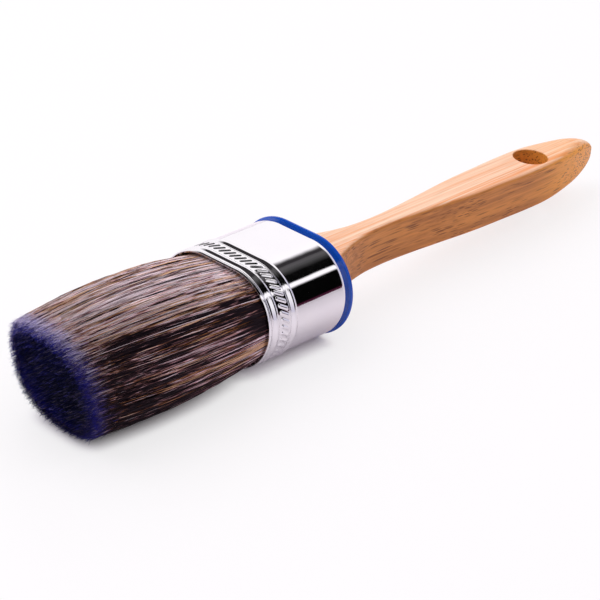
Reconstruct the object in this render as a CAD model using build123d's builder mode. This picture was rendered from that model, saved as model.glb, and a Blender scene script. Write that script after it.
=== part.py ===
from build123d import *
import os
from math import atan2, cos, degrees, pi, radians, sin

os.makedirs("parts", exist_ok=True)

# An oval paint brush lying along X: bristle tips at -X, handle end at +X, its wide
# faces up and down. The origin is under the middle of its length.

# ferrule, the pressed steel sleeve
ferrule_width = 45.0
ferrule_thick = 32.2
ferrule_length = 35.2
sheet_wall = 0.5
# beads and grooves as (start, end, height of the middle), with the start and end of the
# knurled band between them, all from the lip
lip_bead = (0.0, 1.3, 0.55)
front_groove = (1.3, 2.9, -0.3)
edge_bead = (2.9, 4.5, 0.3)
knurl_band = (4.5, 9.5)
rear_groove = (9.5, 10.9, -0.35)
rear_bead = (10.9, 12.9, 0.4)
# slanted ribs of the knurled band
rib_pitch = 2.18
rib_slant = 30.0
rib_width = 1.3
rib_corner = 0.35
rib_height = 0.45
rib_root = 0.3
rib_margin = 0.35

# collar, the moulded plastic end cap
flange_length = 2.5
flange_proud = 0.5
flange_round = 0.6
flange_chamfer = 0.3
skirt_length = 12.0
skirt_wall = 1.6
skirt_clearance = 0.1
socket_wall = 1.8
web_thick = 1.6

# handle, a shaped board; its outline's points are (share of the length, half width)
handle_length = 153.6
handle_thick = 14.7
shoulder_half = 14.0
throat = (0.104, 6.74)
neck = (0.234, 3.73)
rise = (0.339, 4.41)
rise_run = 0.157
belly = (0.749, 7.9)
run_out = (0.911, 4.8)
tip_fullness = 6.0
tip_half = 2.8
end_round_to_end = 17.0
end_round_reach = 18.0
edge_round = 1.4
hole_radius = 6.1
hole_to_end = 35.9
hole_chamfer = 0.4
tenon_width = 21.0
tenon_thick = 11.4
tenon_length = 13.0
tenon_clearance = 0.1

# resin setting and the spacer bar through it
setting_from_lip = 6.0
setting_length = 12.0
setting_clearance = 0.1
spacer_width = 24.0
spacer_thick = 5.0
spacer_tail = 4.0

# bristles, on a slice of the resin; their length is that of the middle of the bundle
bristle_out = 67.0
backing_length = 2.0
strand_pitch = 1.85
strand_radius = 0.62
strand_tip_radius = 0.34
bundle_clearance = 0.5
# the bundle's half width and half thickness: how far inside the bore they are at the lip,
# and how much more than there the pull of its belly and the tips have
lip_inset = (0.45, 0.35)
belly_gain = (1.6, 6.2)
tips_gain = (-3.8, 2.7)
lip_squareness = 2.5
tips_squareness = 2.75
bend_shares = (0.45, 1.0)
tip_slant = 0.29
tip_dome = 0.8
# the underside swells less, and its tips are trimmed, so that the brush lies flat on them
under_gain = 3.1
tips_trim = 0.8

# the sleeve's inside, clear of the grooves that are pressed into it
groove_depth = -min(front_groove[2], rear_groove[2])
bore_width = ferrule_width - 2 * (sheet_wall + groove_depth)
bore_thick = ferrule_thick - 2 * (sheet_wall + groove_depth)

# half sizes of the bundle at the lip, of the pull of its belly, and at the tips
lip_half = (bore_width / 2 - lip_inset[0], bore_thick / 2 - lip_inset[1])
belly_pull_half = (lip_half[0] + belly_gain[0], lip_half[1] + belly_gain[1])
under_pull_half = (belly_pull_half[0], lip_half[1] + under_gain)
tips_half = (lip_half[0] + tips_gain[0], lip_half[1] + tips_gain[1])

# places along the brush
bristle_reach = bristle_out + tip_slant * tips_half[1]
overall_length = bristle_reach + ferrule_length + flange_length + handle_length
lip_end = -overall_length / 2 + bristle_reach
flange_front = lip_end + ferrule_length
flange_back = flange_front + flange_length
handle_end = flange_back + handle_length
tips_foot = tips_half[1] - tips_trim + strand_tip_radius * sin(radians(60))
axis_height = max(ferrule_thick / 2 + flange_proud, tips_foot)


def across(x):
    # the plane square to the brush at x, with its own x along +Y and its own y up
    return Plane(origin=(x, 0, axis_height), x_dir=(0, 1, 0), z_dir=(1, 0, 0))


def round_oval(width, thick, travel):
    # the point, at this distance round an oval with round ends, and its outward angle
    flat = width - thick
    radius = thick / 2
    end = pi * radius
    travel = travel % (2 * (flat + end))
    side = 1 if travel < flat + end else -1
    travel = travel % (flat + end)
    if travel < flat:
        return side * (flat / 2 - travel), side * radius, 90.0 * side
    turn = 90 * side + degrees((travel - flat) / radius)
    y = -side * flat / 2 + radius * cos(radians(turn))
    return y, radius * sin(radians(turn)), turn


def oval_length(width, thick):
    return 2 * (width - thick) + pi * thick


def on_outline(place):
    share, half = place
    return share * handle_length, half


# handle: plan outline cut by the side outline, then softened edges, hole and tenon
round_from = handle_length - end_round_to_end
board_bottom = Plane(origin=(flange_back, 0, axis_height - handle_thick / 2))
board_side = Plane(
    origin=(flange_back, shoulder_half, axis_height), x_dir=(1, 0, 0), z_dir=(0, -1, 0)
)
with BuildPart() as handle:
    with BuildSketch(board_bottom):
        with BuildLine():
            waist = ThreePointArc((0, shoulder_half), on_outline(throat), on_outline(neck))
            lift = TangentArc(waist @ 1, on_outline(rise), tangent=waist % 1)
            run = Line(lift @ 1, lift @ 1 + lift % 1 * rise_run * handle_length)
            swell = TangentArc(run @ 1, on_outline(belly), tangent=run % 1)
            taper = TangentArc(swell @ 1, on_outline(run_out), tangent=swell % 1)
            tip_lead = taper @ 1 + taper % 1 * tip_fullness
            Bezier(taper @ 1, tip_lead, (handle_length, tip_half), (handle_length, 0))
            Line((handle_length, 0), (0, 0))
            Line((0, 0), (0, shoulder_half))
        make_face()
        mirror(about=Plane.XZ)
    extrude(amount=handle_thick)
    with BuildSketch(board_side):
        with BuildLine():
            Line((0, handle_thick / 2), (round_from, handle_thick / 2))
            EllipticalCenterArc(
                (round_from, 0), end_round_reach, handle_thick / 2, -90, arc_size=180
            )
            Line((round_from, -handle_thick / 2), (0, -handle_thick / 2))
            Line((0, -handle_thick / 2), (0, handle_thick / 2))
        make_face()
    extrude(amount=2 * shoulder_half, mode=Mode.INTERSECT)
    long_edges = handle.edges().filter_by(Axis.Y, reverse=True).filter_by(Axis.Z, reverse=True)
    fillet(long_edges, edge_round)
    with BuildSketch(across(flange_back)):
        Rectangle(tenon_width, tenon_thick)
    extrude(amount=-tenon_length)
    with Locations((handle_end - hole_to_end, 0, axis_height)):
        Hole(hole_radius)
    chamfer(handle.edges(Select.LAST).filter_by(GeomType.CIRCLE), hole_chamfer)
handle.part.label = "handle"
export_step(handle.part, "parts/handle.step")

# collar: flange behind the sleeve, skirt inside it, and a webbed socket for the tenon
socket_width = tenon_width + 2 * tenon_clearance
socket_thick = tenon_thick + 2 * tenon_clearance
skirt_width = ferrule_width - 2 * (sheet_wall + skirt_clearance)
skirt_thick = ferrule_thick - 2 * (sheet_wall + skirt_clearance)
with BuildPart() as collar:
    with BuildSketch(across(flange_front)):
        SlotOverall(ferrule_width + 2 * flange_proud, ferrule_thick + 2 * flange_proud)
    extrude(amount=flange_length)
    fillet(collar.faces().sort_by(Axis.X)[-1].edges(), flange_round)
    chamfer(collar.faces().sort_by(Axis.X)[0].edges(), flange_chamfer)
    with BuildSketch(across(flange_front)):
        SlotOverall(skirt_width, skirt_thick)
        SlotOverall(
            skirt_width - 2 * skirt_wall, skirt_thick - 2 * skirt_wall, mode=Mode.SUBTRACT
        )
        Rectangle(socket_width + 2 * socket_wall, socket_thick + 2 * socket_wall)
        Rectangle(skirt_width - skirt_wall, web_thick)
        with GridLocations(socket_width / 2, 0, 2, 1):
            Rectangle(web_thick, skirt_thick - skirt_wall)
    extrude(amount=-skirt_length)
    with BuildSketch(across(flange_back)):
        Rectangle(socket_width, socket_thick)
    extrude(amount=-(flange_length + skirt_length), mode=Mode.SUBTRACT)
collar.part.label = "collar"
export_step(collar.part, "parts/collar.step")

# ferrule: the wall's outline, beads and grooves included, swept round the oval
wall_top = Plane(
    origin=(lip_end, 0, axis_height + ferrule_thick / 2), x_dir=(1, 0, 0), z_dir=(0, -1, 0)
)
pressed = [lip_bead, front_groove, edge_bead, rear_groove, rear_bead]
half_flat = (ferrule_width - ferrule_thick) / 2
end_radius = ferrule_thick / 2
band_middle = lip_end + (knurl_band[0] + knurl_band[1]) / 2
rib_reach = (knurl_band[1] - knurl_band[0] - 2 * rib_margin - rib_width) / cos(
    radians(rib_slant)
)
rim_length = oval_length(ferrule_width, ferrule_thick)
rib_count = round(rim_length / rib_pitch)


with BuildPart() as ferrule:
    with BuildLine(across(lip_end)) as oval_path:
        Line((0, end_radius), (-half_flat, end_radius))
        ThreePointArc(
            (-half_flat, end_radius), (-half_flat - end_radius, 0), (-half_flat, -end_radius)
        )
        Line((-half_flat, -end_radius), (half_flat, -end_radius))
        ThreePointArc(
            (half_flat, -end_radius), (half_flat + end_radius, 0), (half_flat, end_radius)
        )
        Line((half_flat, end_radius), (0, end_radius))
    with BuildSketch(wall_top):
        with BuildLine():
            for start, end, height in pressed:
                centre = (start + end) / 2
                ThreePointArc((start, 0), (centre, height), (end, 0))
                Polyline(
                    (start, -sheet_wall), (centre, height - sheet_wall), (end, -sheet_wall)
                )
            for below in (0, sheet_wall):
                Line((knurl_band[0], -below), (knurl_band[1], -below))
                Line((rear_bead[1], -below), (ferrule_length, -below))
            Line((0, 0), (0, -sheet_wall))
            Line((ferrule_length, 0), (ferrule_length, -sheet_wall))
        make_face()
    sweep(path=oval_path.wire())
    for rib in range(rib_count):
        y, z, turn = round_oval(ferrule_width, ferrule_thick, rib * rim_length / rib_count)
        outward = Vector(0, cos(radians(turn)), sin(radians(turn)))
        forward = Vector(0, -outward.Z, outward.Y)
        along = Vector(1, 0, 0) * cos(radians(rib_slant)) + forward * sin(radians(rib_slant))
        foot = Vector(band_middle, y, axis_height + z) - outward * rib_root
        with BuildSketch(Plane(origin=foot, x_dir=along, z_dir=outward)) as rib_face:
            Rectangle(rib_reach + rib_width, rib_width)
            chamfer(rib_face.vertices(), rib_corner)
    extrude(amount=rib_root + rib_height)
ferrule.part.label = "ferrule"
export_step(ferrule.part, "parts/ferrule.step")

# spacer bar, which keeps the middle of the bundle open
setting_front = lip_end + setting_from_lip
with BuildPart() as spacer:
    with BuildSketch(across(setting_front)):
        SlotOverall(spacer_width, spacer_thick)
    extrude(amount=setting_length + spacer_tail)
spacer.part.label = "spacer"
export_step(spacer.part, "parts/spacer.step")

# resin setting, cast round the spacer bar
setting_width = bore_width - 2 * setting_clearance
setting_thick = bore_thick - 2 * setting_clearance
with BuildPart() as setting:
    with BuildSketch(across(setting_front)):
        SlotOverall(setting_width, setting_thick)
        SlotOverall(spacer_width, spacer_thick, mode=Mode.SUBTRACT)
    extrude(amount=setting_length)
setting.part.label = "setting"
export_step(setting.part, "parts/setting.step")

# bristles: strands on nested ovals, which spread and square up towards the tips
root_width = bore_width - 2 * (bundle_clearance + strand_radius)
root_thick = bore_thick - 2 * (bundle_clearance + strand_radius)
root_half = (root_width / 2, root_thick / 2)


def spread(y, z, share):
    # where the strand that is at (y, z) at the root lies, this share of the way out
    square = lip_squareness + (tips_squareness - lip_squareness) * share
    lip, pull, tips = (1 - share) ** 2, 2 * share * (1 - share), share**2
    angle = atan2(z / root_half[1], y / root_half[0])
    reach = (abs(cos(angle)) ** square + abs(sin(angle)) ** square) ** (-1 / square)
    lip_reach = abs(cos(angle)) ** lip_squareness + abs(sin(angle)) ** lip_squareness
    grow = reach * lip_reach ** (1 / lip_squareness)
    pull_half = belly_pull_half if z > 0 else under_pull_half
    wide, thick = [
        lip * lip_half[side] + pull * pull_half[side] + tips * tips_half[side]
        for side in (0, 1)
    ]
    return y / root_half[0] * wide * grow, z / root_half[1] * thick * grow


def strand(y, z):
    # one tapered, three-sided strand from inside the backing to its own tip
    tip_y, tip_z = spread(y, z, 1.0)
    rim = max(abs(tip_y) / tips_half[0], abs(tip_z) / tips_half[1])
    length = bristle_out + tip_slant * tip_z + tip_dome * (1 - rim**2)
    bends = [(setting_front - backing_length / 2, y, z, strand_radius)]
    for share in bend_shares:
        radius = strand_radius * (1 - share) + strand_tip_radius * share
        side, up = spread(y, z, share)
        up = max(up, radius * sin(radians(60)) - tips_foot)
        bends.append((lip_end - length * share, side, up, radius))
    with BuildPart() as hair:
        for x, side, up, radius in bends:
            with BuildSketch(across(x)):
                with Locations((side, up)):
                    RegularPolygon(radius, 3)
        loft(ruled=True)
    return hair.part


strands = []
ring_count = int(root_thick / 2 / strand_pitch) + 1
for ring in range(ring_count):
    ring_width = root_width - 2 * ring * strand_pitch
    ring_thick = root_thick - 2 * ring * strand_pitch
    ring_length = oval_length(ring_width, ring_thick)
    places = round(ring_length / strand_pitch)
    for place in range(places):
        y, z, _ = round_oval(ring_width, ring_thick, (place + ring / 2) * ring_length / places)
        strands.append(strand(y, z))
print("strands:", len(strands), "ribs:", rib_count)

with BuildPart() as bristles:
    with BuildSketch(across(setting_front)):
        SlotOverall(setting_width, setting_thick)
    extrude(amount=-backing_length)
    add(strands)
bristles.part.label = "bristles"
export_step(bristles.part, "parts/bristles.step")
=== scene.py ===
import math
import bpy
import numpy as np
from mathutils import Matrix, Vector


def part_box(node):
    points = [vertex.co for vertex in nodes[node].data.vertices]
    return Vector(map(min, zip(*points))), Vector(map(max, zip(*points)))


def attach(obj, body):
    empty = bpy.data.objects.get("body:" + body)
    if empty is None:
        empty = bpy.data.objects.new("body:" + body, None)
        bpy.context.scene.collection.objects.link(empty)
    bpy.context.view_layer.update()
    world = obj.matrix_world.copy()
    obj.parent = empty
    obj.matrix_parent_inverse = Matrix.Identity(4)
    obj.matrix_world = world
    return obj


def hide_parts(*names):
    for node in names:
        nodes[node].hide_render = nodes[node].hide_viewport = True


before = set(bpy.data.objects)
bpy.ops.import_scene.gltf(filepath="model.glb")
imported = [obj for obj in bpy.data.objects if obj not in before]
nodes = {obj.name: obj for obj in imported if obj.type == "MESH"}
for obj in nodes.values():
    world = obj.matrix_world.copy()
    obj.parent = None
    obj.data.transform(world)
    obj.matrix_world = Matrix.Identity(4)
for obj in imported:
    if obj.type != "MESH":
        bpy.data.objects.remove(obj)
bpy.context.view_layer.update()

mm = 0.001
rng = np.random.default_rng(41)

# the brush lies along X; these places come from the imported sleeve, collar and handle, in mm
sleeveLow, sleeveHigh = (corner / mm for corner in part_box("ferrule"))
lipX = sleeveLow.x
sleeveBackX = sleeveHigh.x
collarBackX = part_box("collar")[1].x / mm
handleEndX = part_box("handle")[1].x / mm
axisZ = (sleeveLow.z + sleeveHigh.z) / 2
print("frame loaded: lip at", round(lipX, 2), "axis at", round(axisZ, 2))


def put(tree, kind, sockets=None, **attributes):
    node = tree.nodes.new("ShaderNode" + kind)
    for key, value in attributes.items():
        setattr(node, key, value)
    for key, value in (sockets or {}).items():
        if isinstance(value, bpy.types.NodeSocket):
            tree.links.new(value, node.inputs[key])
        else:
            node.inputs[key].default_value = value
    return node


def maths(tree, operation, a, b=0.0, clamp=False):
    return put(tree, "Math", {0: a, 1: b}, operation=operation, use_clamp=clamp).outputs[0]


def times(tree, a, b, clamp=False):
    return maths(tree, "MULTIPLY", a, b, clamp)


def plus(tree, a, b):
    return maths(tree, "ADD", a, b)


def minus(tree, a, b):
    return maths(tree, "SUBTRACT", a, b)


def dot(tree, a, b):
    return put(tree, "VectorMath", {0: a, 1: b}, operation="DOT_PRODUCT").outputs["Value"]


def blended(tree, factor, a, b, blend="MIX"):
    sockets = {0: factor, 6: a, 7: b}
    return put(tree, "Mix", sockets, data_type="RGBA", blend_type=blend, clamp_factor=True).outputs[2]


def remap(tree, value, fromLow, fromHigh, toLow=0.0, toHigh=1.0, smooth=False):
    kind = "SMOOTHSTEP" if smooth else "LINEAR"
    sockets = {0: value, 1: fromLow, 2: fromHigh, 3: toLow, 4: toHigh}
    return put(tree, "MapRange", sockets, interpolation_type=kind).outputs[0]


def ramp(tree, factor, stops):
    node = put(tree, "ValToRGB", {0: factor})
    elements = node.color_ramp.elements
    while len(elements) < len(stops):
        elements.new(0.5)
    for element, (place, colour) in zip(elements, stops):
        element.position = place
        element.color = (*colour[:3], 1.0)
    return node.outputs[0]


def ownPlace(tree):
    return put(tree, "TexCoord").outputs["Object"]


def split(tree, vector):
    return put(tree, "SeparateXYZ", {0: vector}).outputs


def newMaterial(name):
    material = bpy.data.materials.new(name)
    material.use_nodes = True
    material.node_tree.nodes.clear()
    return material, material.node_tree


def finishMaterial(tree, sockets):
    shader = put(tree, "BsdfPrincipled", sockets)
    put(tree, "OutputMaterial", {0: shader.outputs[0]})


def newGroup(name, inputs, output):
    tree = bpy.data.node_groups.new(name, "ShaderNodeTree")
    for label, value in inputs.items():
        socket = tree.interface.new_socket(label, in_out="INPUT", socket_type="NodeSocketFloat")
        socket.default_value = value
    tree.interface.new_socket(output, in_out="OUTPUT", socket_type="NodeSocketFloat")
    return tree, tree.nodes.new("NodeGroupInput").outputs, tree.nodes.new("NodeGroupOutput").inputs


def useGroup(tree, group, **sockets):
    return put(tree, "Group", sockets, node_tree=group).outputs[0]


def toScene(name, points, faces):
    # a new object in the scene, from points in metres
    mesh = bpy.data.meshes.new(name)
    mesh.from_pydata(points, [], faces)
    added = bpy.data.objects.new(name, mesh)
    bpy.context.scene.collection.objects.link(added)
    return added


def smoothShade(mesh):
    mesh.polygons.foreach_set("use_smooth", np.full(len(mesh.polygons), True))


def makePiece(name, points, faces, material):
    # points are in mm
    piece = toScene(name, (np.asarray(points) * mm).tolist(), faces)
    smoothShade(piece.data)
    piece.data.materials.append(material)
    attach(piece, "root")
    return piece


def numbered(*shape):
    # point numbers in rows and columns
    return np.arange(math.prod(shape)).reshape(shape)


def ringWalls(index):
    # quads between neighbouring rows of a grid of point numbers, closed round each row
    after = np.roll(index, -1, axis=1)
    return np.stack([index[:-1], after[:-1], after[1:], index[1:]], axis=-1).reshape(-1, 4).tolist()


def makeEdgeWear():
    # 1 along edges, broken up by noise; Reach is the width of the worn edge in metres
    tree, given, result = newGroup("edgeWear", {"Reach": 0.0004, "Breakup": 900.0, "Amount": 1.0}, "Mask")
    rounded = put(tree, "Bevel", {"Radius": given["Reach"]}, samples=4).outputs[0]
    edge = remap(tree, dot(tree, rounded, put(tree, "NewGeometry").outputs["Normal"]), 0.995, 0.86)
    noise = put(tree, "TexNoise", {"Vector": ownPlace(tree), "Scale": given["Breakup"], "Detail": 3.0})
    broken = remap(tree, noise.outputs[0], 0.35, 0.65)
    mask = times(tree, times(tree, edge, broken), given["Amount"], clamp=True)
    tree.links.new(mask, result["Mask"])
    return tree


def drawnOut(tree, given, fineness):
    # places with one scale along the brush and another across it, moved sideways by Offset
    place = split(tree, ownPlace(tree))
    return put(tree, "CombineXYZ", {
        0: times(tree, place[0], given["Length"]),
        1: times(tree, plus(tree, place[1], given["Offset"]), fineness),
        2: times(tree, place[2], fineness),
    }).outputs[0]


def makeRunningGrain():
    # noise drawn out along the brush: Fineness is the count per metre across, Length that along
    tree, given, result = newGroup(
        "runningGrain", {"Fineness": 900.0, "Length": 30.0, "Detail": 3.0, "Offset": 0.0}, "Value")
    drawn = drawnOut(tree, given, given["Fineness"])
    noise = put(tree, "TexNoise", {"Vector": drawn, "Scale": 1.0, "Detail": given["Detail"]})
    tree.links.new(noise.outputs[0], result["Value"])
    return tree


def makeSmudges():
    # slow cloudy variation, such as handling leaves on polished things
    tree, given, result = newGroup("smudges", {"Scale": 60.0, "Low": 0.0, "High": 1.0}, "Value")
    noise = put(tree, "TexNoise", {
        "Vector": ownPlace(tree), "Scale": given["Scale"], "Detail": 5.0, "Roughness": 0.6})
    value = remap(tree, noise.outputs[0], 0.3, 0.7, given["Low"], given["High"])
    tree.links.new(value, result["Value"])
    return tree


def makeFibreDots():
    # long thin cells along the brush, which an oblique cut turns into dots and dashes
    tree, given, result = newGroup(
        "fibreDots", {"Count": 1150.0, "Length": 62.0, "Radius": 0.4, "Offset": 0.0}, "Mask")
    drawn = drawnOut(tree, given, given["Count"])
    cells = put(tree, "TexVoronoi", {"Vector": drawn, "Scale": 1.0, "Randomness": 0.9})
    depth = minus(tree, given["Radius"], cells.outputs["Distance"])
    tree.links.new(maths(tree, "DIVIDE", depth, 0.2, clamp=True), result["Mask"])
    return tree


edgeWear = makeEdgeWear()
runningGrain = makeRunningGrain()
smudges = makeSmudges()
fibreDots = makeFibreDots()

board = {
    # half widths at these distances from the collar
    "halfWidths": [
        (0, 14.0), (4, 11.75), (8, 9.8), (16, 6.78), (26, 4.45), (38, 3.73), (50, 4.24), (65, 5.5),
        (80, 6.85), (95, 7.47), (108, 7.87), (118, 7.8), (126, 7.26), (134, 6.09), (138, 5.3), (142, 4.4),
        (146, 3.4), (149, 2.55), (151.5, 1.65), (153, 0.85), (153.6, 0.0),
    ],
    "length": 153.6, "halfThick": 7.35, "endRound": 17.0,
    "corner": 1.4, "cornerGrowsFrom": 116.0, "cornerSteps": 10,
    "evenTo": 114.0, "stations": (74, 52),  # evenly spaced, then closer and closer to the end
    "tenonHalf": 10.4, "tenonThick": 5.6, "tenonReach": 13.0, "tenonCorner": 0.2,
    "holeRadius": 6.0, "holeLip": 0.18, "holeToEnd": 35.9, "holeColumns": 96,
    # fineness, length, detail and offset of each layer of grain, and its share
    "grain": [(330.0, 7.0, 2.0, 0.0), (1400.0, 14.0, 3.0, 0.3), (3400.0, 60.0, 2.0, 0.6)],
    "grainShares": (0.5, 0.38, 0.12),
    # the face colours are partly painted light from above, and the side colours partly painted shade
    "facePale": (0.94, 0.64, 0.46, 1), "faceStreak": (0.86, 0.31, 0.11, 1),
    "sidePale": (0.70, 0.27, 0.062, 1), "sideStreak": (0.46, 0.165, 0.042, 1),
    # paler orange at the end: the end grain, partly painted light
    "litEndGrain": (1.0, 0.40, 0.05, 1),
    "fibre": (0.15, 0.045, 0.012, 1), "wornEdge": (0.92, 0.56, 0.33, 1),
    "darkLayer": (1.5, 3.6),  # from and to this height over the low face
    "roughness": (0.34, 0.5),
}


def smoothCurve(x, table):
    knots, values = np.array(table, float).T
    slopes = np.gradient(values, knots)
    i = np.clip(np.searchsorted(knots, x) - 1, 0, len(knots) - 2)
    span = knots[i + 1] - knots[i]
    t = (x - knots[i]) / span
    return (values[i] * (1 + 2 * t) * (1 - t) ** 2 + slopes[i] * span * t * (1 - t) ** 2
            + values[i + 1] * t * t * (3 - 2 * t) + slopes[i + 1] * span * t * t * (t - 1))


def boardSection(half, thick, corner):
    # a rounded rectangle, anticlockwise, with extra points inside its flats
    points = []
    steps = board["cornerSteps"]
    for turn, (sy, sz) in enumerate(((1, 1), (-1, 1), (-1, -1), (1, -1))):
        flatY, flatZ = half - corner, thick - corner
        for k in range(steps + 1):
            angle = math.pi / 2 * (turn + k / steps)
            points.append((sy * flatY + corner * math.cos(angle), sz * flatZ + corner * math.sin(angle)))
        across = turn % 2 == 0
        for share in (0.88, 0.0, -0.88):
            points.append((sy * flatY * share, sz * thick) if across else (sy * half, sz * flatZ * share))
    return points


def boardShape():
    length, thick, even = board["length"], board["halfThick"], board["evenTo"]
    lead, rest = board["stations"]
    closing = np.sin(np.linspace(0, math.pi / 2, rest))[1:-1]
    stations = np.concatenate([np.linspace(0, even, lead), even + (length - even) * closing])
    sections = []
    for x in (-board["tenonReach"], 0.0):
        tenon = boardSection(board["tenonHalf"], board["tenonThick"], board["tenonCorner"])
        sections.append([(x, *p) for p in tenon])
    for x in stations:
        half = float(smoothCurve(x, board["halfWidths"]))
        into = max(0.0, (x - (length - board["endRound"])) / board["endRound"])
        tall = thick * math.sqrt(max(1 - into**2, 0.0))
        grow = (x - board["cornerGrowsFrom"]) / (length - board["cornerGrowsFrom"])
        grow = min(max(grow, 0), 1) ** 1.6
        full = min(half, tall)
        corner = min(board["corner"] + grow * max(full - board["corner"], 0), full * 0.985)
        sections.append([(x, *p) for p in boardSection(half, tall, corner)])
    rings = np.array(sections) + (collarBackX, 0, axisZ)
    count, around = rings.shape[:2]
    index = numbered(count, around)
    points = np.concatenate([rings.reshape(-1, 3), [(collarBackX + length, 0, axisZ)]])
    faces = ringWalls(index)
    faces += [[int(index[-1, i]), int(index[-1, (i + 1) % around]), count * around] for i in range(around)]
    faces.append(index[0].tolist()[::-1])
    return points, faces


def cutHole(piece):
    # the hanging hole, with a slightly softened lip at both faces
    radius, lip, thick = board["holeRadius"], board["holeLip"], board["halfThick"]
    beyond = 1.0
    wide = radius + lip + beyond
    steps = [(-thick - beyond, wide), (-thick + lip, radius), (thick - lip, radius), (thick + beyond, wide)]
    around = board["holeColumns"]
    turn = np.arange(around) / around * 2 * math.pi
    centre = np.array((handleEndX - board["holeToEnd"], 0, axisZ))
    rings = [np.stack([r * np.cos(turn), r * np.sin(turn), np.full(around, z)], axis=-1) + centre
             for z, r in steps]
    index = numbered(len(steps), around)
    faces = ringWalls(index) + [index[0].tolist()[::-1], index[-1].tolist()]
    drill = toScene("holeDrill", (np.concatenate(rings) * mm).tolist(), faces)
    cut = piece.modifiers.new("hole", "BOOLEAN")
    cut.object, cut.operation, cut.solver = drill, "DIFFERENCE", "EXACT"
    shape = bpy.data.meshes.new_from_object(piece.evaluated_get(bpy.context.evaluated_depsgraph_get()))
    piece.modifiers.clear()
    piece.data = shape
    bpy.data.objects.remove(drill)
    smoothShade(shape)
    shape.set_sharp_from_angle(angle=math.radians(32))


def bambooMaterial():
    material, tree = newMaterial("oiledBamboo")
    place = split(tree, ownPlace(tree))
    upward = split(tree, put(tree, "NewGeometry").outputs["Normal"])[2]
    # the wide faces take the face colours and the sides the side colours: partly flat grain against edge
    # grain, partly painted light, paler where light falls from above and darker on the sides as if in shade
    face = remap(tree, maths(tree, "ABSOLUTE", upward), 0.50, 0.93, smooth=True)
    layers = [useGroup(tree, runningGrain, Fineness=fineness, Length=length, Detail=detail, Offset=offset)
              for fineness, length, detail, offset in board["grain"]]
    broad, fine, hair = (times(tree, layer, share) for layer, share in zip(layers, board["grainShares"]))
    streak = remap(tree, plus(tree, plus(tree, broad, fine), hair), 0.42, 0.60)
    # painted highlight: the wide face is paler, with fewer streaks, on its far half, where the light from
    # behind falls
    paintedFarHighlight = remap(tree, place[1], -0.004, 0.006, 1.2, 0.4)
    top = blended(tree, times(tree, streak, paintedFarHighlight), board["facePale"], board["faceStreak"])
    side = blended(tree, streak, board["sidePale"], board["sideStreak"])
    # a darker layer runs along the low side
    low, high = ((axisZ - board["halfThick"] + height) * mm for height in board["darkLayer"])
    layer = times(tree, remap(tree, place[2], low, low + 0.0006), remap(tree, place[2], high, high - 0.0009))
    side = blended(tree, times(tree, layer, 0.6), side, board["sideStreak"])
    # paler orange towards the end: end grain at the rounded tip, and painted light carried back over the
    # hole's wall
    endGrainAndPaintedLight = remap(tree, place[0], (handleEndX - 50) * mm, (handleEndX - 12) * mm, smooth=True)
    side = blended(tree, times(tree, endGrainAndPaintedLight, 0.85), side, board["litEndGrain"])
    top = blended(tree, times(tree, endGrainAndPaintedLight, 0.25), top, board["litEndGrain"])
    colour = blended(tree, face, side, top)
    # cut fibres: long ones in patches, short ones between them
    large = useGroup(tree, fibreDots, Count=1250.0, Length=75.0, Radius=0.42, Offset=0.0)
    small = useGroup(tree, fibreDots, Count=1900.0, Length=150.0, Radius=0.40, Offset=0.4)
    patches = useGroup(tree, runningGrain, Fineness=210.0, Length=30.0, Detail=2.0, Offset=0.7)
    fibres = plus(tree, times(tree, large, remap(tree, patches, 0.44, 0.58)),
                  times(tree, small, remap(tree, patches, 0.50, 0.38)))
    # round pores where the grain comes out at the flare and the tip
    pores = useGroup(tree, fibreDots, Count=1700.0, Length=600.0, Radius=0.46, Offset=0.8)
    nearEnds = maths(tree, "MAXIMUM",
                     remap(tree, place[0], (handleEndX - 22) * mm, (handleEndX - 12) * mm),
                     remap(tree, place[0], (collarBackX + 17) * mm, (collarBackX + 8) * mm))
    fibres = blended(tree, nearEnds, fibres, pores)
    fibres = times(tree, fibres, remap(tree, face, 0.0, 1.0, 0.78, 0.10), clamp=True)
    colour = blended(tree, fibres, colour, board["fibre"])
    worn = useGroup(tree, edgeWear, Reach=0.0006, Breakup=420.0, Amount=0.3)
    colour = blended(tree, worn, colour, board["wornEdge"])
    height = minus(tree, times(tree, layers[1], 0.6), fibres)
    bump = put(tree, "Bump", {"Strength": 0.25, "Distance": 0.00012, "Height": height})
    finishMaterial(tree, {
        "Base Color": colour, "Roughness": remap(tree, layers[1], 0.3, 0.7, *board["roughness"]),
        "Normal": bump.outputs[0], "IOR": 1.45, "Specular IOR Level": 0.35,
        "Coat Weight": 0.05, "Coat Roughness": 0.3,
    })
    return material


points, faces = boardShape()
handlePiece = makePiece("shapedHandle", points, faces, bambooMaterial())
cutHole(handlePiece)
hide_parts("handle")
print("handle made:", len(handlePiece.data.polygons), "faces")

collar = {
    "width": 46.0, "thick": 33.2, "columns": 240,
    # (distance from the collar's back, inset from its full size) from the skirt's end to the back
    "section": [
        (-13.0, 1.25), (-1.35, 1.25), (-1.35, 0.62), (-1.14, 0.50), (-1.08, 0.34), (-1.04, 0.28),
        (-0.96, 0.10), (-0.86, 0.02), (-0.78, 0.0), (-0.45, 0.0), (-0.30, 0.02), (-0.12, 0.11),
        (-0.02, 0.26), (0.0, 0.42),
    ],
    "socket": (10.5, 5.7), "socketSquareness": 8,
    "colour": (0.001, 0.066, 0.47, 1), "cloud": (0.002, 0.090, 0.55, 1), "edge": (0.08, 0.30, 0.85, 1),
    "roughness": (0.10, 0.20),
}


def dress(node, material):
    # gives a carried-over node its finish
    piece = nodes[node]
    piece.data.materials.clear()
    piece.data.materials.append(material)


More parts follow.
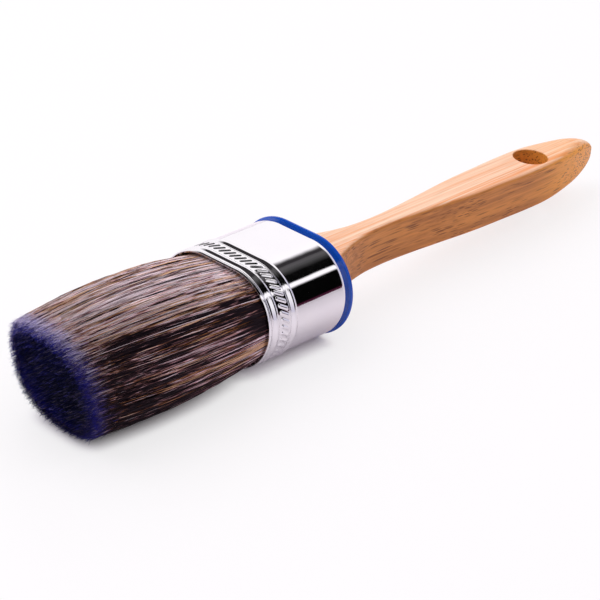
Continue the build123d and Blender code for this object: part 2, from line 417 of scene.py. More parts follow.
def collarMaterial():
    material, tree = newMaterial("glossBluePlastic")
    tint = useGroup(tree, smudges, Scale=90.0, Low=0.0, High=0.4)
    colour = blended(tree, tint, collar["colour"], collar["cloud"])
    worn = useGroup(tree, edgeWear, Reach=0.0002, Breakup=700.0, Amount=0.35)
    colour = blended(tree, worn, colour, collar["edge"])
    low, high = collar["roughness"]
    rough = useGroup(tree, smudges, Scale=240.0, Low=low, High=high)
    ripple = put(tree, "TexNoise", {"Vector": ownPlace(tree), "Scale": 2200.0, "Detail": 2.0})
    bump = put(tree, "Bump", {"Strength": 0.06, "Distance": 0.00005, "Height": ripple.outputs[0]})
    finishMaterial(tree, {"Base Color": colour, "Roughness": rough, "Normal": bump.outputs[0], "IOR": 1.5})
    return material


def ovalRing(width, thick, share):
    # points and outward normals round an oval with round ends, from one end's start over the top
    flat, radius = width - thick, thick / 2
    half = flat + math.pi * radius
    travel = (np.asarray(share) % 1.0) * 2 * half
    side = np.where(travel < half, 1.0, -1.0)
    travel = travel % half
    onFlat = travel < flat
    turn = np.pi / 2 + np.where(onFlat, 0.0, (travel - flat) / radius)
    ny, nz = np.cos(turn) * side, np.sin(turn) * side
    y = np.where(onFlat, side * (flat / 2 - travel), -side * flat / 2 + radius * ny)
    return y, radius * nz, ny, nz


def upright(x, y, z):
    # one closed ring across the brush, round its axis
    return np.stack([np.full(len(y), x), y, axisZ + z], axis=-1)


def closedShell(rings):
    # the rings joined one after another, and the last to the first
    index = numbered(len(rings), len(rings[0]))
    return np.concatenate(rings), ringWalls(np.concatenate([index, index[:1]]))


def collarShape():
    # the skirt and flange round the outside, the back face in to the socket, and the socket's wall
    share = np.arange(collar["columns"]) / collar["columns"]
    rings = []
    for place, inset in collar["section"]:
        y, z, _, _ = ovalRing(collar["width"] - 2 * inset, collar["thick"] - 2 * inset, share)
        rings.append(upright(collarBackX + place, y, z))
    y, z, _, _ = ovalRing(collar["width"], collar["thick"], share)
    turn = np.arctan2(z / collar["thick"], y / collar["width"])
    power = collar["socketSquareness"]
    reach = (np.abs(np.cos(turn)) ** power + np.abs(np.sin(turn)) ** power) ** (-1 / power)
    y, z = (half * reach * way(turn) for half, way in zip(collar["socket"], (np.cos, np.sin)))
    for place in (0.0, collar["section"][0][0]):
        rings.append(upright(collarBackX + place, y, z))
    return closedShell(rings)


points, faces = collarShape()
collarPiece = makePiece("mouldedCollar", points, faces, collarMaterial())
collarPiece.data.set_sharp_from_angle(angle=math.radians(40))
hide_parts("collar")
print("collar made:", len(faces), "faces")

# out of sight: the resin setting and the spacer bar through it
inside = {
    "resin": ((0.10, 0.065, 0.045, 1), (0.17, 0.115, 0.08, 1)),
    "wood": ((0.42, 0.27, 0.14, 1), (0.62, 0.44, 0.26, 1)),
}


def resinMaterial():
    material, tree = newMaterial("castResin")
    cloud = useGroup(tree, smudges, Scale=300.0, Low=0.0, High=1.0)
    rough = useGroup(tree, smudges, Scale=500.0, Low=0.35, High=0.6)
    colour = blended(tree, cloud, *inside["resin"])
    finishMaterial(tree, {"Base Color": colour, "Roughness": rough, "IOR": 1.5})
    return material


def spacerMaterial():
    material, tree = newMaterial("plainWood")
    grain = useGroup(tree, runningGrain, Fineness=900.0, Length=40.0, Detail=3.0)
    rough = remap(tree, grain, 0.3, 0.7, 0.5, 0.75)
    colour = blended(tree, grain, *inside["wood"])
    finishMaterial(tree, {"Base Color": colour, "Roughness": rough, "IOR": 1.45})
    return material


dress("setting", resinMaterial())
dress("spacer", spacerMaterial())
print("setting and spacer dressed")

sleeve = {
    "width": 45.0, "thick": 32.2, "length": sleeveBackX - lipX + 1.2,
    # beads and grooves as (start, end, height), from the lip
    "pressed": [
        (0.0, 1.15, 0.32), (1.3, 2.9, -0.22), (2.9, 4.5, 0.30), (9.7, 10.8, -0.22), (10.8, 12.7, 0.36),
    ],
    "ribs": 58, "bandMiddle": 7.3, "ribSlant": 30.0,
    "ribHalfWidth": 0.62, "ribHalfReach": 1.5, "ribHeight": 0.34, "ribFoot": 0.03,
    "ribLean": 0.25,  # how far the crest stands to one side, like a tooth's
    "columns": 640, "rowStep": 0.125, "plainFrom": 13.2, "plainRows": 8,
    # (place, depth under the plain wall) of the inner wall, back to the lip
    "inner": [(14.0, 0.85), (0.9, 0.85), (0.25, 0.51)],
    "colour": (0.80, 0.79, 0.80, 1), "smudge": (0.74, 0.73, 0.76, 1), "worn": (0.62, 0.60, 0.62, 1),
    "roughness": (0.025, 0.07),
}


def pressedHeight(u):
    # height of the pressed beads and grooves over the plain wall
    height = np.zeros_like(u)
    for start, end, rise in sleeve["pressed"]:
        t = np.clip((u - start) / (end - start), 0, 1) * 2 - 1
        height += np.where((u >= start) & (u <= end), rise * np.maximum(1 - t * t, 0) ** 0.7, 0)
    soft = np.convolve(np.pad(height, 1, mode="edge"), [0.25, 0.5, 0.25], mode="valid")
    return np.where(u < sleeve["plainFrom"] + 0.5, soft, 0.0)


def ribHeights(u, share):
    # height of the slanted ribs of the band, and where they are
    rim = 2 * (sleeve["width"] - sleeve["thick"]) + math.pi * sleeve["thick"]
    pitch = rim / sleeve["ribs"]
    slant, lean = math.radians(sleeve["ribSlant"]), sleeve["ribLean"]
    du = (u - sleeve["bandMiddle"])[:, None]
    best = np.full((len(u), len(share)), 9.0)
    for step in (-1, 0, 1):
        dt = ((share * rim / pitch + 0.5) % 1.0 - 0.5 + step)[None, :] * pitch
        along = du * math.cos(slant) + dt * math.sin(slant)
        across = -du * math.sin(slant) + dt * math.cos(slant)
        overrun = np.maximum(np.abs(along) - sleeve["ribHalfReach"], 0) / sleeve["ribHalfWidth"]
        aside = across / sleeve["ribHalfWidth"] - lean
        aside = np.where(aside < 0, -aside / (1 + lean), aside / (1 - lean))
        best = np.minimum(best, np.hypot(overrun, aside))
    return sleeve["ribHeight"] * np.maximum(1 - best**1.7, 0) - sleeve["ribFoot"], best < 1


def sleeveShape():
    lead = np.arange(0, sleeve["plainFrom"], sleeve["rowStep"])
    plain = np.linspace(sleeve["plainFrom"] + 1.2, sleeve["length"], sleeve["plainRows"])
    u = np.concatenate([lead, plain])
    share = np.arange(sleeve["columns"]) / sleeve["columns"]
    y, z, ny, nz = ovalRing(sleeve["width"], sleeve["thick"], share)
    rib, onRib = ribHeights(u, share)
    height = np.repeat(pressedHeight(u)[:, None], sleeve["columns"], axis=1)
    height = np.where(onRib, np.maximum(height, rib), height)
    # outer wall, then the inner wall back to the lip
    rings = [upright(lipX + place, y + h * ny, z + h * nz) for place, h in zip(u, height)]
    for place, depth in [(sleeve["length"], sleeve["inner"][0][1])] + sleeve["inner"]:
        rings.append(upright(lipX + place, y - depth * ny, z - depth * nz))
    return closedShell(rings)


def platedMaterial():
    material, tree = newMaterial("mirrorPlating")
    tint = useGroup(tree, smudges, Scale=45.0, Low=0.0, High=0.5)
    colour = blended(tree, tint, sleeve["colour"], sleeve["smudge"])
    worn = useGroup(tree, edgeWear, Reach=0.0002, Breakup=1500.0, Amount=0.25)
    colour = blended(tree, worn, colour, sleeve["worn"])
    low, high = sleeve["roughness"]
    cloudy = useGroup(tree, smudges, Scale=150.0, Low=low, High=high)
    rough = plus(tree, cloudy, times(tree, worn, 0.2))
    waves = put(tree, "TexNoise", {"Vector": ownPlace(tree), "Scale": 130.0, "Detail": 1.0})
    bump = put(tree, "Bump", {"Strength": 0.35, "Distance": 0.00012, "Height": waves.outputs[0]})
    finishMaterial(tree, {
        "Base Color": colour, "Roughness": rough, "Metallic": 1.0, "Normal": bump.outputs[0]})
    return material


points, faces = sleeveShape()
sleevePiece = makePiece("platedSleeve", points, faces, platedMaterial())
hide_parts("ferrule")
print("sleeve made:", len(faces), "faces")

bundle = {
    "rootX": lipX + 6.2,  # inside the sleeve, at the resin
    "out": 68.4, "slant": 0.29, "lean": -0.06, "dome": 0.6,
    # half width and half thickness of the bundle at the lip, its belly's pull, and the tips
    "lip": (21.4, 15.0), "pull": (22.8, 21.0), "tips": (17.3, 17.6),
    "squareness": (2.5, 2.75), "drop": -0.2,
    "rimRound": 3.0, "rimFrom": 0.66,  # the outer strands end short of the middle ones
    "clumps": 330, "clumpPull": 0.6, "clumpLift": 0.008,
    # how far strands stray: round the bundle, in and out, and from their own line in mm
    "drift": (0.014, 0.009), "wander": 0.10,
    "shorter": (2.6, 2.0),  # spread of the lengths, and what the longest stand out by
    "sides": 3, "thick": (0.125, 0.04),  # of each strand, at the lip and at its end
    "sizeSpread": (0.8, 0.4),
    "stations": [-1.0, 0.0, 0.07, 0.15, 0.24, 0.34, 0.44, 0.54, 0.64, 0.74, 0.83, 0.92, 1.0],
    # how many strands, what share of the radius they fill, and how freely they wander
    "outer": (2700, 0.13, 1.0), "loose": (1900, 0.0455, 2.0),
    # along the short lengths at the tips, and how far each has fanned out there
    "tipStations": [0.0, 0.45, 0.78, 1.0], "fanned": [0.0, 0.3, 0.65, 1.0],
}

# short lengths at the tips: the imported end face, and the split ends round its rim
packedTips = {
    "count": 6800, "reach": 15.0, "spread": 0.25, "shorter": (1.3, 0.4),
    "radii": (0.15, 0.14, 0.11, 0.045), "fleck": 0.45, "fill": 0.97,
}
splitTips = {
    "count": 5200, "reach": 8.0, "spread": 0.8, "shorter": (1.8, 1.8),
    "radii": (0.065, 0.055, 0.04, 0.016), "rim": 0.15,
}

core = {
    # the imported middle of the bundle, as shares of its length and of its radius
    "columns": 240,
    "shares": [-1.0, 0.0, 0.2, 0.4, 0.6, 0.78, 0.88, 0.915],
    "fullness": [0.96, 0.96, 0.92, 0.91, 0.905, 0.90, 0.87, 0.70],
}

stray = {
    # one pale hair that stands out of the tips, from the collar's back
    "places": [(-101.6, -8.2, -8.1), (-100.9, -9.6, -8.8), (-100.3, -11.5, -9.1), (-99.7, -13.3, -9.2)],
    "radii": [0.05, 0.12, 0.11, 0.04], "lay": (0.0, -0.3, 0.9),
}

flecks = {
    # how pale the strands are: 0 dark, 1 bright; partly their own tone, partly painted light and shade
    "middle": 0.58, "clump": (0.22, 0.10), "own": (0.22, 0.11), "inward": 0.30,
    # painted light and shade, added at these heights of the surface, from the low side to the top
    "paintedLightByLift": ((-0.5, 0.1, 0.6, 0.80, 0.92, 1.0), (-0.42, 0.02, -0.08, 0.12, 0.46, 0.57)),
    "nearTipsShade": (0.38, 0.4, 0.5),  # painted shade on the near tips: share, where it starts and the length it grows over
    # share, reach from the lip, height and spread of the painted shade and of the painted reflection of the
    # floor beside the lip
    "paintedShadeByLip": (0.9, 0.30, 0.35, 0.36), "paintedReflectionByLip": (0.40, 0.35, -0.2, 0.25),
    "farEdge": (0.7, 0.5, 0.8),  # its direction across the brush, up and sideways, and its reach
    "farGold": (0.22, 0.85, 0.22),  # share, angle and spread of the golden strands there
    "tips": 0.22,  # spread along the short lengths
    "split": (0.46, 0.33, 0.13),  # of the split ends, and painted light: more on top and on the far side
}

dyeing = {
    # the places along a strand where violet and then blue set in, and the depth that turns it blue
    "violet": (0.922, 0.982), "blue": (0.953, 0.990), "depth": (0.1, 0.45), "ragged": 0.05,
    # the usual depth, less on top and on the far side as painted light that keeps those ends pale, and its
    # spread
    "usual": (0.23, 0.21, 0.08), "spread": 0.16,
    "outer": (0.05, 0.45),  # more for the outer strands, and for those further in
    "nearShorter": 0.6, "soaked": 0.35,  # length of the dyed stretch, near side and packed strands
    # the imported end: depth in its middle, less past this share of the radius, and less low down; painted
    # shade in the middle and painted light on the rim and the low near side
    "packed": 0.97, "packedRim": (0.72, 0.74, 0.22), "packedLow": (0.9, 0.4), "splitLess": 0.10,
}

filament = {
    "dark": (0.012, 0.005, 0.010), "brown": (0.10, 0.045, 0.055), "mauve": (0.42, 0.195, 0.205),
    "pale": (0.96, 0.59, 0.66), "bright": (1.0, 0.82, 0.90),
    "goldDark": (0.085, 0.030, 0.010), "gold": (0.46, 0.175, 0.058), "goldPale": (0.92, 0.56, 0.36),
    "lilac": (0.82, 0.72, 0.98, 1), "violet": (0.080, 0.052, 0.175, 1),
    "navy": (0.014, 0.017, 0.055, 1), "blue": (0.016, 0.018, 0.36, 1), "glint": (0.20, 0.19, 0.80, 1),
    "tint": (1.0, 0.86, 0.88, 1),  # of the reflections
    "strandShare": 0.5, "bundleShare": 0.9,  # whose surface the light falls on
}


def bundlePoint(turn, share):
    # the envelope at this angle, share 0 at the lip and 1 at the tips
    square = bundle["squareness"][0] * (1 - share) + bundle["squareness"][1] * share
    wide, thick = (
        bundle["lip"][i] * (1 - share) ** 2 + bundle["pull"][i] * 2 * share * (1 - share)
        + bundle["tips"][i] * share**2 for i in (0, 1)
    )
    c, s = np.cos(turn), np.sin(turn)
    reach = (np.abs(c) ** square + np.abs(s) ** square) ** (-1 / square)
    return wide * reach * c, thick * reach * s


def bundleNormal(turn, shares):
    # the way the bundle's own surface faces at each station of each strand
    turn, shares = np.broadcast_arrays(turn[:, None], shares)
    step = 0.01
    y0, z0 = bundlePoint(turn - step, shares)
    y1, z1 = bundlePoint(turn + step, shares)
    size = np.hypot(y1 - y0, z1 - z0)
    return np.stack([np.zeros_like(size), (z1 - z0) / size, (y0 - y1) / size], axis=-1)


def evenTurns(count):
    # random angles, evened out by the distance round the bundle
    grid = np.linspace(0, 2 * np.pi, 2001)
    y, z = bundlePoint(grid, np.full_like(grid, 0.5))
    arc = np.concatenate([[0], np.cumsum(np.hypot(np.diff(y), np.diff(z)))])
    return np.interp(rng.random(count) * arc[-1], arc, grid)


def strandLines(turn, rho, shares, shorten=0.0, drift=None):
    # centre lines (strands, stations, 3); a share below 0 lies inside the sleeve
    turn, rho = turn[:, None], rho[:, None]
    drift = np.zeros((len(turn), 2)) if drift is None else drift
    shorten = np.broadcast_to(shorten, len(turn))[:, None]
    tipY, tipZ = bundlePoint(turn, np.ones_like(turn))
    length = bundle["out"] + bundle["slant"] * tipZ * rho + bundle["lean"] * tipY * rho
    rim = np.clip((rho - bundle["rimFrom"]) / (1 - bundle["rimFrom"]), 0, 1)
    length = length + bundle["dome"] * (1 - rho**2) - shorten - bundle["rimRound"] * rim**2.2
    out = np.maximum(shares, 0.0)
    grown = np.minimum(out * length / bundle["out"], 1.08)
    y, z = bundlePoint(turn + drift[:, 0:1] * out**1.5, grown)
    spread = rho * (1 + drift[:, 1:2] * out**2) * np.where(shares < 0, 0.99, 1.0)
    x = np.where(shares < 0, lipX - shares * (bundle["rootX"] - lipX), lipX - length * out)
    return np.stack([x, y * spread, axisZ + z * spread + bundle["drop"] * out], axis=-1)


def slowNoise(count, stations, size):
    # noise along each strand that changes smoothly from station to station
    raw = rng.normal(0, size, (count, stations + 2))
    return (raw[:, :-2] + 2 * raw[:, 1:-1] + raw[:, 2:]) / 2.45


def uneven(count):
    # each strand's own size against the usual one
    least, spread = bundle["sizeSpread"]
    return (least + spread * rng.random(count))[:, None]


def shortened(count, spread, beyond):
    # how much shorter than the envelope each strand ends; the longest stand out beyond it
    return np.abs(rng.normal(0, spread, count)) - beyond


def makeTubes(name, lines, radii, material):
    # one piece of thin tubes, one for each line
    count, stations, _ = lines.shape
    sides = bundle["sides"]
    turns = rng.random(count)[:, None] * 2 * np.pi + np.arange(sides)[None, :] * 2 * np.pi / sides
    ring = np.stack([np.zeros_like(turns), np.cos(turns), np.sin(turns)], axis=-1)
    points = (lines[:, :, None, :] + ring[:, None, :, :] * radii[:, :, None, None]).reshape(-1, 3)
    index = numbered(count, stations, sides)
    after = np.roll(index, -1, axis=2)
    walls = np.stack([index[:, :-1], after[:, :-1], after[:, 1:], index[:, 1:]], axis=-1).reshape(-1, 4)
    return makePiece(name, points, walls.tolist(), material)


def addStrandData(piece, shape, sides, lay, **values):
    # values per strand and station go to every point round the tube
    for name, given in values.items():
        layer = piece.data.attributes.new(name, "FLOAT", "POINT")
        given = np.repeat(np.broadcast_to(given, shape), sides)
        layer.data.foreach_set("value", given.astype(np.float32))
    layer = piece.data.attributes.new("bundleLay", "FLOAT_VECTOR", "POINT")
    lay = np.repeat(np.broadcast_to(lay, (*shape, 3)).reshape(-1, 3), sides, axis=0)
    layer.data.foreach_set("vector", lay.astype(np.float32).ravel())


def bristleMaterial(name, paintedShade=1.0):
    material, tree = newMaterial(name)

    def given(label, output="Fac"):
        return put(tree, "Attribute", attribute_name=label).outputs[output]

    tone, fleck, along, dye = (given("strand" + label) for label in ("Tone", "Fleck", "Place", "Dye"))
    patch = useGroup(tree, runningGrain, Fineness=1600.0, Length=50.0, Detail=3.0)
    level = plus(tree, fleck, times(tree, minus(tree, patch, 0.5), 2.5))
    plain, golden = (
        ramp(tree, level, [(stop, filament[colour]) for stop, colour in stops]) for stops in (
            [(0.24, "dark"), (0.42, "brown"), (0.56, "mauve"), (0.70, "pale"), (0.84, "bright")],
            [(0.15, "dark"), (0.38, "goldDark"), (0.62, "gold"), (0.90, "goldPale")],
        )
    )
    body = blended(tree, remap(tree, tone, 0.59, 0.70), plain, golden)
    # the last stretch is dyed: violet, then blue to navy at the very ends
    placed = plus(tree, along, times(tree, minus(tree, tone, 0.5), dyeing["ragged"]))
    toViolet, toBlue = (remap(tree, placed, *dyeing[part], smooth=True) for part in ("violet", "blue"))
    toBlue = times(tree, toBlue, remap(tree, dye, *dyeing["depth"]))
    dyed = blended(tree, remap(tree, level, 0.27, 0.76), filament["violet"], filament["lilac"])
    colour = blended(tree, toViolet, body, dyed)
    inky = blended(tree, remap(tree, dye, 0.55, 1.0), filament["blue"], filament["navy"])
    inky = blended(tree, remap(tree, level, 0.80, 1.0), inky, filament["glint"])
    colour = blended(tree, toBlue, colour, inky)
    # painted shade: the whole colour darkened for strands inside the bundle
    if paintedShade < 1:
        colour = blended(tree, 1.0, colour, (paintedShade, paintedShade, paintedShade, 1), blend="MULTIPLY")
    # the light falls partly on the strand's own surface and partly on the bundle's
    own = put(tree, "NewGeometry").outputs["Normal"]
    own, lay = (
        put(tree, "VectorMath", {0: way, "Scale": filament[share]}, operation="SCALE").outputs[0]
        for way, share in ((own, "strandShare"), (given("bundleLay", "Vector"), "bundleShare"))
    )
    facing = put(tree, "VectorMath", {0: own, 1: lay}, operation="ADD").outputs[0]
    facing = put(tree, "VectorMath", {0: facing}, operation="NORMALIZE").outputs[0]
    finishMaterial(tree, {
        "Base Color": colour, "Roughness": remap(tree, level, 0.2, 0.9, 0.42, 0.24),
        "Metallic": remap(tree, toViolet, 0.0, 1.0, 0.45, 0.12), "Normal": facing,
        "IOR": 1.5, "Specular IOR Level": 0.25, "Specular Tint": filament["tint"],
    })
    return material


flagged = bristleMaterial("flaggedFilament")
# the end face's strands a little and the core much darker, painted shade
innerFilament = bristleMaterial("innerFilament", 0.9)
shadedCoreFilament = bristleMaterial("shadedCoreFilament", 0.25)

clumpTurns = np.sort(evenTurns(bundle["clumps"]))
clumpTones = rng.random(bundle["clumps"])
clumpFlecks = rng.normal(0, flecks["clump"][0], (bundle["clumps"], 1))
clumpFlecks = clumpFlecks + slowNoise(bundle["clumps"], len(bundle["stations"]), flecks["clump"][1])
clumpLifts = rng.normal(0, bundle["clumpLift"], bundle["clumps"])


def nearestClump(turn):
    # the clump that each strand belongs to, and how far round the bundle it is from it
    away = (clumpTurns[None, :] - turn[:, None] + np.pi) % (2 * np.pi) - np.pi
    number = np.abs(away).argmin(axis=1)
    return number, away[np.arange(len(turn)), number]


def dyeAt(turn, depth):
    # how far a strand's end goes from violet through blue to navy: least on top, as painted light, most deep
    # inside
    middle, onTop, farSide = dyeing["usual"]
    usual = middle - onTop * np.sin(turn) - farSide * np.cos(turn)
    return np.clip(usual + depth + rng.normal(0, dyeing["spread"], len(turn)), 0, 1)[:, None]


def squared(distance, width):
    return (distance / width) ** 2


def outerFlecks(fleck, turn, taper):
    # painted light and shade: paler along the top, darker on the near tips and beside the lip, pale again low
    # beside the lip
    lift = np.sin(turn)[:, None]
    fleck = fleck + np.interp(lift, *flecks["paintedLightByLift"])
    share, start, length = flecks["nearTipsShade"]
    fleck -= share * np.clip(awayFromFar(turn), 0, 1.4) * np.clip((taper - start) / length, 0, 1)
    share, reach, height, wide = flecks["paintedShadeByLip"]
    fleck *= 1 - share * np.exp(-((taper / reach) ** 1.5) - squared(lift - height, wide))
    share, reach, height, wide = flecks["paintedReflectionByLip"]
    fleck += share * np.exp(-squared(taper, reach) - squared(lift - height, wide))
    return np.clip(fleck, 0, 1)


def awayFromFar(turn):
    # nothing along the far upper edge, and more and more towards the near side
    up, sideways, reach = flecks["farEdge"]
    return 1 - (up * np.sin(turn) + sideways * np.cos(turn))[:, None] / reach


def outerBristles(name, count, depth, loose):
    turn = evenTurns(count)
    inward = rng.random(count) ** 1.2
    shares = np.array(bundle["stations"])[None, :]
    stations = shares.shape[1]
    clump, away = nearestClump(turn)
    drift = rng.normal(0, 1, (count, 2)) * np.array(bundle["drift"]) * loose
    drift[:, 0] += away * bundle["clumpPull"]
    drift[:, 1] += clumpLifts[clump]
    shorten = shortened(count, *bundle["shorter"])
    lines = strandLines(turn, 1 - depth * inward, shares, shorten, drift)
    swing = np.clip(shares * 5, 0, 1)
    for axis in (1, 2):
        lines[:, :, axis] += slowNoise(count, stations, bundle["wander"] * loose) * swing
    thick, thin = bundle["thick"]
    taper = np.clip(shares, 0, 1)
    radii = (thick + (thin - thick) * taper**2) * uneven(count)
    piece = makeTubes(name, lines, radii, flagged)
    own = rng.normal(0, flecks["own"][0], (count, 1)) + slowNoise(count, stations, flecks["own"][1])
    # painted shade: the strands further in are darker
    fleck = flecks["middle"] + clumpFlecks[clump] + own - flecks["inward"] * inward[:, None]
    # more golden where the light comes through along the far edge
    tone = 0.5 * clumpTones[clump] + 0.5 * rng.random(count)
    share, middle, wide = flecks["farGold"]
    tone = np.clip(tone + share * np.exp(-squared(turn - middle, wide)), 0, 1)
    lay = bundleNormal(turn, taper) * (1 - 0.7 * np.clip((taper - 0.85) / 0.15, 0, 1))[:, :, None]
    # the dyed stretch is shorter on the near side
    place = 1 - (1 - taper) * (1 + dyeing["nearShorter"] * np.clip(awayFromFar(turn), 0, 1))
    dye, deeper = dyeing["outer"]
    addStrandData(
        piece, (count, stations), bundle["sides"], lay, strandTone=tone[:, None],
        strandFleck=outerFlecks(fleck, turn, taper), strandPlace=place,
        strandDye=dyeAt(turn, dye + deeper * inward),
    )
    return piece


def tipBristles(name, tips, turn, rho, shorten, material, fleck, depth):
    count, stations = len(turn), len(bundle["tipStations"])
    start = 1 - tips["reach"] / bundle["out"]
    along = np.array(bundle["tipStations"])
    shares = (start + (1 - start) * along)[None, :]
    lines = strandLines(turn, rho, shares, shorten)
    fan = rng.normal(0, 1, (count, 1, 2)) * tips["spread"]
    lines[:, :, 1:] += fan * (np.array(bundle["fanned"]) ** 1.4)[None, :, None]
    piece = makeTubes(name, lines, np.array(tips["radii"])[None, :] * uneven(count), material)
    fleck = np.clip(fleck + slowNoise(count, stations, flecks["tips"]), 0, 1)
    lay = bundleNormal(turn, shares) * ((rho > 0.8) * 0.3)[:, None, None]
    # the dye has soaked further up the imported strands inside
    soaked = np.where(rho < 0.8, dyeing["soaked"], 1.0)[:, None]
    addStrandData(
        piece, (count, stations), bundle["sides"], lay, strandTone=rng.random(count)[:, None],
        strandFleck=fleck, strandPlace=1 - (1 - shares) * soaked, strandDye=dyeAt(turn, depth),
    )


def packedEnd():
    count = packedTips["count"]
    rho = np.sqrt(rng.random(count)) * packedTips["fill"]
    turn = evenTurns(count)
    shorten = shortened(count, *packedTips["shorter"])
    # painted shade and light: navy in the middle, bluer towards the rim and on the low near side
    less, start, length = dyeing["packedRim"]
    depth = dyeing["packed"] - less * np.clip((rho - start) / length, 0, 1)
    less, sideways = dyeing["packedLow"]
    depth -= less * rho * np.clip(sideways * np.cos(turn) - np.sin(turn), 0, 1)
    tipBristles("innerBristles", packedTips, turn, rho, shorten, innerFilament, packedTips["fleck"], depth)


def splitEnds():
    count, rim = splitTips["count"], splitTips["rim"]
    rho = 1 - rim * rng.random(count) ** 1.3
    turn = evenTurns(count)
    shorten = shortened(count, *splitTips["shorter"])
    # painted light: paler on top and on the far side
    middle, onTop, farSide = flecks["split"]
    fleck = (middle + onTop * np.sin(turn) + farSide * np.cos(turn))[:, None]
    depth = (1 - rho) / rim - dyeing["splitLess"]
    tipBristles("splitEnds", splitTips, turn, rho, shorten, flagged, fleck, depth)


def bristleCore():
    # closed at both ends, behind the long strands; its colour dark with painted shade
    columns = core["columns"]
    turn = np.arange(columns) / columns * 2 * np.pi
    rings = [strandLines(turn, np.full(columns, inner), np.full((columns, 1), share))[:, 0]
             for share, inner in zip(core["shares"], core["fullness"])]
    count = len(rings)
    index = numbered(count, columns)
    points = np.concatenate(rings + [[rings[0].mean(axis=0), rings[-1].mean(axis=0)]])
    faces = [wall[::-1] for wall in ringWalls(index)]
    for i in range(columns):
        j = (i + 1) % columns
        faces.append([int(index[0, i]), int(index[0, j]), count * columns])
        faces.append([int(index[-1, j]), int(index[-1, i]), count * columns + 1])
    piece = makePiece("bristleCore", points, faces, shadedCoreFilament)
    place = np.concatenate([np.repeat(np.clip(core["shares"], 0, 1), columns), [0.0, 0.97]])
    addStrandData(piece, (len(points),), 1, (0.0, 0.0, 0.0),
                  strandTone=0.3, strandFleck=0.3, strandPlace=place, strandDye=1.0)


def strayHair():
    line = np.array([stray["places"]]) + np.array([collarBackX, 0, axisZ])
    piece = makeTubes("strayHair", line, np.array([stray["radii"]]), flagged)
    addStrandData(piece, (1, len(stray["places"])), bundle["sides"], stray["lay"],
                  strandTone=0.2, strandFleck=1.0, strandPlace=0.5, strandDye=0.0)


outerPiece = outerBristles("outerBristles", *bundle["outer"])
outerBristles("looseBristles", *bundle["loose"])
packedEnd()
splitEnds()
bristleCore()
strayHair()
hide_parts("bristles")
print("bristles made")

studio = {
    "floorSlope": 0.03,  # the brush rests on its collar and its bristles
    "floorUnderCollar": 16.75, "floorHalf": 3.0,
    "floorColour": (0.95, 0.87, 0.95, 1), "floorWhite": 0.74, "paintedShadowReach": 0.0058,
    "skyLight": 0.92, "nearSky": 0.25, "skyPlace": (-0.02, 0.60, 0.80),
    "lamp": 4.2, "lampPlace": (-0.30, 0.50, 0.88), "lampSize": (0.9, 0.9),
    "strip": 0.9, "stripPlace": (0.70, -0.47, 0.57), "stripSize": (0.12, 0.9),
    "aim": (-0.03, 0, 0.01),
    "reflected": 1.3,
    # what shines back, by the angle round the brush from straight up, in degrees towards the near side:
    # a pale wall behind, and a dark room on the near side with one strip light
    "cards": [
        (-180, 0.75), (-22, 1.0), (-15, 0.75), (-9, 0.42), (-3, 0.20), (3, 0.09), (9, 0.040), (15, 0.012),
        (17, 0.002), (34, 0.001), (37, 1.0), (43, 1.0), (47, 0.001), (83, 0.001), (86, None), (90, None),
        (93, 0.8),
    ],
    "plum": (0.06, 0.012, 0.03),  # the cards without a level
    "room": (0.03, 0.027, 0.03, 1), "roomPlace": (-0.685, -0.565, 0.46),
    "ahead": (0.60, 0.58, 0.70, 1),
    "panelLow": (0.58, 0.55, 0.66, 1), "panelHigh": (0.88, 0.86, 0.90, 1),
}


def makeFloor():
    half = studio["floorHalf"]
    middle = (axisZ - studio["floorUnderCollar"]) * mm
    corners = [(x, y, middle + studio["floorSlope"] * (x - collarBackX * mm)) for x, y in
               ((-half, -half), (half, -half), (half, half), (-half, half))]
    floor = toScene("studioFloor", corners, [(0, 1, 2, 3)])
    material, tree = newMaterial("paleSweep")
    cloud = put(tree, "TexNoise", {"Vector": ownPlace(tree), "Scale": 14.0, "Detail": 3.0})
    rough = remap(tree, cloud.outputs[0], 0.3, 0.7, 0.3, 0.4)
    paper = put(tree, "BsdfPrincipled", {
        "Base Color": studio["floorColour"], "Roughness": rough, "IOR": 1.3})
    white = put(tree, "Emission", {0: (1.0, 1.0, 1.0, 1), 1: 1.0})
    # to the camera the floor is part white, less so right under the brush: a painted contact shadow from
    # ambient occlusion
    free = put(tree, "AmbientOcclusion", {"Distance": studio["paintedShadowReach"]}, samples=8).outputs["AO"]
    share = times(tree, remap(tree, free, 0.15, 0.80), studio["floorWhite"])
    share = times(tree, share, put(tree, "LightPath").outputs["Is Camera Ray"])
    both = put(tree, "MixShader", {0: share, 1: paper.outputs[0], 2: white.outputs[0]})
    put(tree, "OutputMaterial", {0: both.outputs[0]})
    floor.data.materials.append(material)


def reflectedRoom(tree, direction):
    x, y, z = split(tree, direction)
    turned = maths(tree, "ARCTAN2", times(tree, y, -1.0), z)
    turned = plus(tree, maths(tree, "DIVIDE", turned, 2 * math.pi), 0.5)
    cards = ramp(tree, turned, [
        (degrees / 360 + 0.5, studio["plum"] if level is None else (level * 1.01, level * 0.98, level * 1.01))
        for degrees, level in studio["cards"]
    ])
    # the room round the camera is dark
    dark = remap(tree, dot(tree, direction, studio["roomPlace"]), -0.36, -0.24, smooth=True)
    dark = times(tree, dark, remap(tree, y, -0.1, 0.1))
    dark = times(tree, dark, remap(tree, y, 0.85, 0.70))
    cards = blended(tree, dark, cards, studio["room"])
    # a pale wall past the handle, and a panel beside the bristles
    ahead = times(tree, remap(tree, x, 0.80, 0.90, smooth=True), remap(tree, y, 0.25, 0.05))
    cards = blended(tree, ahead, cards, studio["ahead"])
    beside = times(tree, remap(tree, x, 0.46, 0.34, smooth=True), remap(tree, y, -0.35, -0.55))
    beside = times(tree, beside, remap(tree, z, 0.72, 0.60))
    panel = blended(tree, remap(tree, z, 0.1, 0.4), studio["panelLow"], studio["panelHigh"])
    return blended(tree, beside, cards, panel)


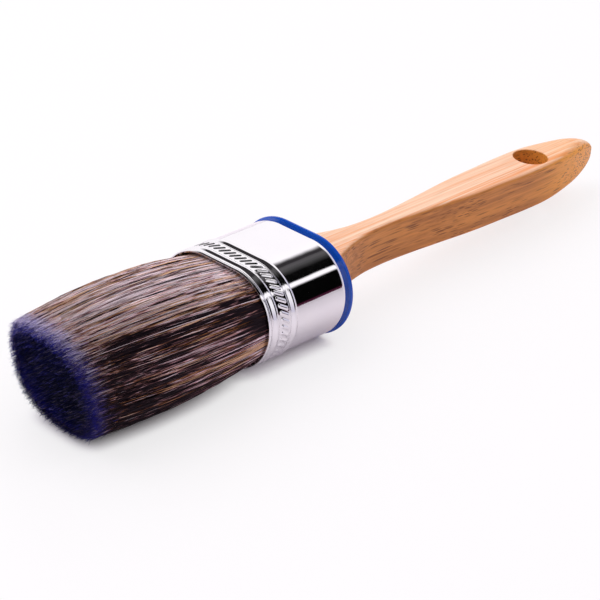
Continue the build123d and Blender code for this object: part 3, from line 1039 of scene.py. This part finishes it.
def makeWorld():
    world = bpy.data.worlds.new("studioWorld")
    bpy.context.scene.world = world
    world.use_nodes = True
    tree = world.node_tree
    tree.nodes.clear()
    rays = put(tree, "LightPath").outputs
    direction = put(tree, "TexCoord").outputs["Generated"]
    mirrored = put(tree, "Background", {0: reflectedRoom(tree, direction), 1: studio["reflected"]})
    toward = dot(tree, direction, studio["skyPlace"])
    sky = remap(tree, toward, -0.6, 0.8, studio["nearSky"], 1.0, smooth=True)
    plain = put(tree, "Background", {0: sky, 1: studio["skyLight"]})
    shown = put(tree, "Background", {0: (1.0, 1.0, 1.0, 1), 1: 1.0})
    shiny = maths(tree, "MAXIMUM", rays["Is Glossy Ray"], rays["Is Transmission Ray"])
    first = put(tree, "MixShader", {0: shiny, 1: plain.outputs[0], 2: mirrored.outputs[0]})
    second = put(tree, "MixShader", {0: rays["Is Camera Ray"], 1: first.outputs[0], 2: shown.outputs[0]})
    put(tree, "OutputWorld", {0: second.outputs[0]})


def makeLight(name, power, place, size):
    lamp = bpy.data.lights.new(name, "AREA")
    lamp.shape, lamp.energy = "RECTANGLE", power
    lamp.size, lamp.size_y = size
    light = bpy.data.objects.new(name, lamp)
    bpy.context.scene.collection.objects.link(light)
    light.location = place
    aim = Vector(studio["aim"]) - light.location
    light.rotation_euler = aim.to_track_quat("-Z", "Y").to_euler()
    light.visible_glossy = False


photoView = {
    "turn": 39.495, "rise": 27.359, "roll": 5.598, "distance": 776.01,
    "aim": (-30.94, -27.41, 12.44), "focal": 157.73,
}


def makeCamera():
    turn, rise, roll = (math.radians(photoView[k]) for k in ("turn", "rise", "roll"))
    level = -math.cos(rise)
    back = Vector((level * math.cos(turn), level * math.sin(turn), math.sin(rise)))
    aim = Vector(photoView["aim"]) + Vector((collarBackX, 0, axisZ))
    right = (-back).cross(Vector((0, 0, 1))).normalized()
    up = right.cross(-back)
    across = math.cos(roll) * right + math.sin(roll) * up
    above = math.cos(roll) * up - math.sin(roll) * right
    data = bpy.data.cameras.new("photoCamera")
    data.sensor_width, data.lens = 36.0, photoView["focal"]
    data.clip_start, data.clip_end = 0.01, 20.0
    camera = bpy.data.objects.new("photoCamera", data)
    bpy.context.scene.collection.objects.link(camera)
    place = Matrix.Translation((aim + back * photoView["distance"]) * mm)
    camera.matrix_world = place @ Matrix((across, above, back)).transposed().to_4x4()
    bpy.context.scene.camera = camera


makeFloor()
makeWorld()
makeLight("topSoftbox", studio["lamp"], studio["lampPlace"], studio["lampSize"])
makeLight("nearStrip", studio["strip"], studio["stripPlace"], studio["stripSize"])
makeCamera()
bpy.context.scene.view_settings.view_transform = "Standard"
print("studio set")
